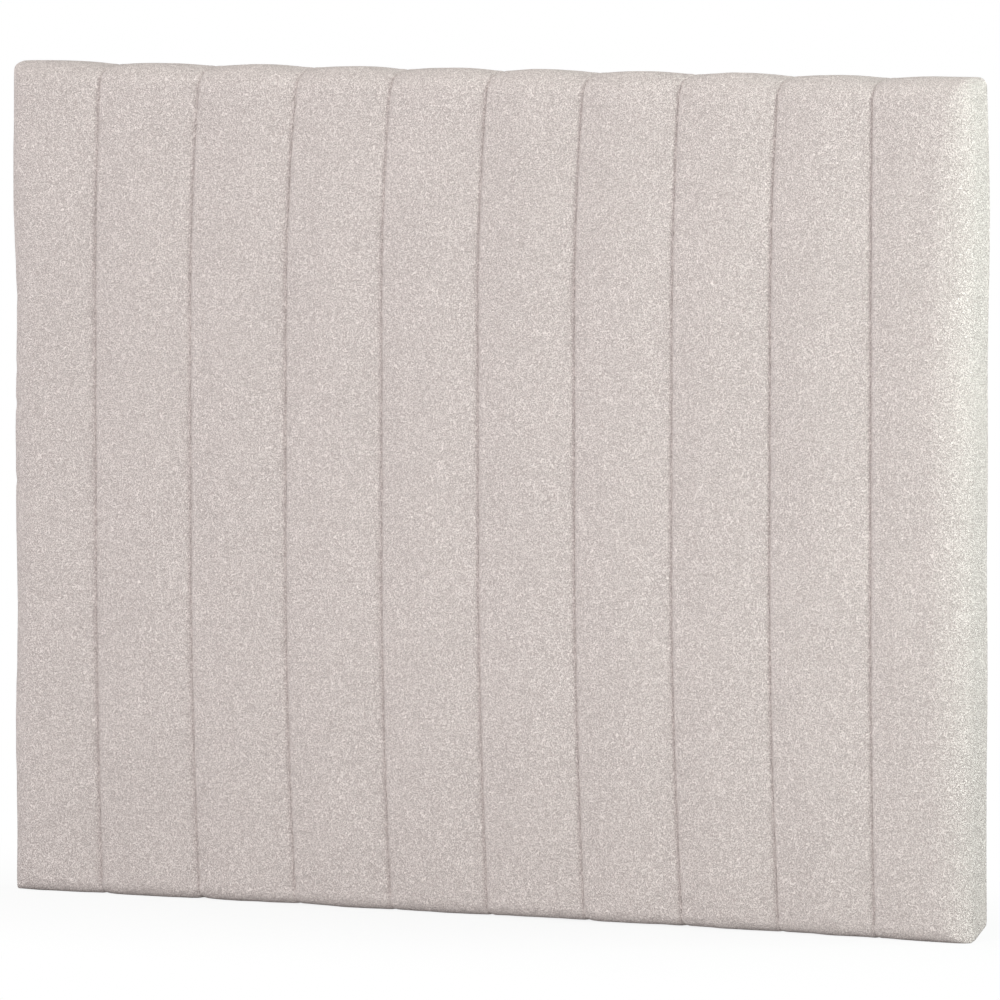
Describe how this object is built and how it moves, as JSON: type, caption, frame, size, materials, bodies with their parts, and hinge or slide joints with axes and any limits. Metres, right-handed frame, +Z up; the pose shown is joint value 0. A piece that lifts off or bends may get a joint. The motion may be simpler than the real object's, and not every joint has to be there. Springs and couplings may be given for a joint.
{
  "type": "headboard",
  "caption": "Upholstered headboard in pale bouclé with upright quilted channels, rolled edges and bolt inserts in the back.",
  "frame": {"origin": "on the floor, in the middle of the width and of the depth", "axes": "+X to the right along the width seen from the front, +Y towards the back, +Z up"},
  "size_m": [1.6, 0.08, 1.2],
  "materials": {
    "boucle": "matte",
    "wadding": "matte",
    "backing_cloth": "matte",
    "foam": "matte",
    "hardboard": "matte",
    "timber": "matte",
    "screw_steel": "satin",
    "staple_steel": "satin",
    "dust_cloth": "matte",
    "insert_steel": "satin"
  },
  "bodies": {
    "root": {"boucle_cover": "boucle", "channel_filling_01": "wadding", "channel_filling_02": "wadding", "channel_filling_03": "wadding", "channel_filling_04": "wadding", "channel_filling_05": "wadding", "channel_filling_06": "wadding", "channel_filling_07": "wadding", "channel_filling_08": "wadding", "channel_filling_09": "wadding", "channel_filling_10": "wadding", "quilt_backing": "backing_cloth", "foam_slab": "foam", "front_panel": "hardboard", "left_stile": "timber", "right_stile": "timber", "top_rail": "timber", "bottom_rail": "timber", "left_fixing_stile": "timber", "right_fixing_stile": "timber", "corner_blocks": "timber", "frame_screws": "screw_steel", "panel_staples": "staple_steel", "cover_staples": "staple_steel", "dust_cover_staples": "staple_steel", "dust_cover": "dust_cloth", "insert_nuts": "insert_steel"}
  },
  "joints": []
}
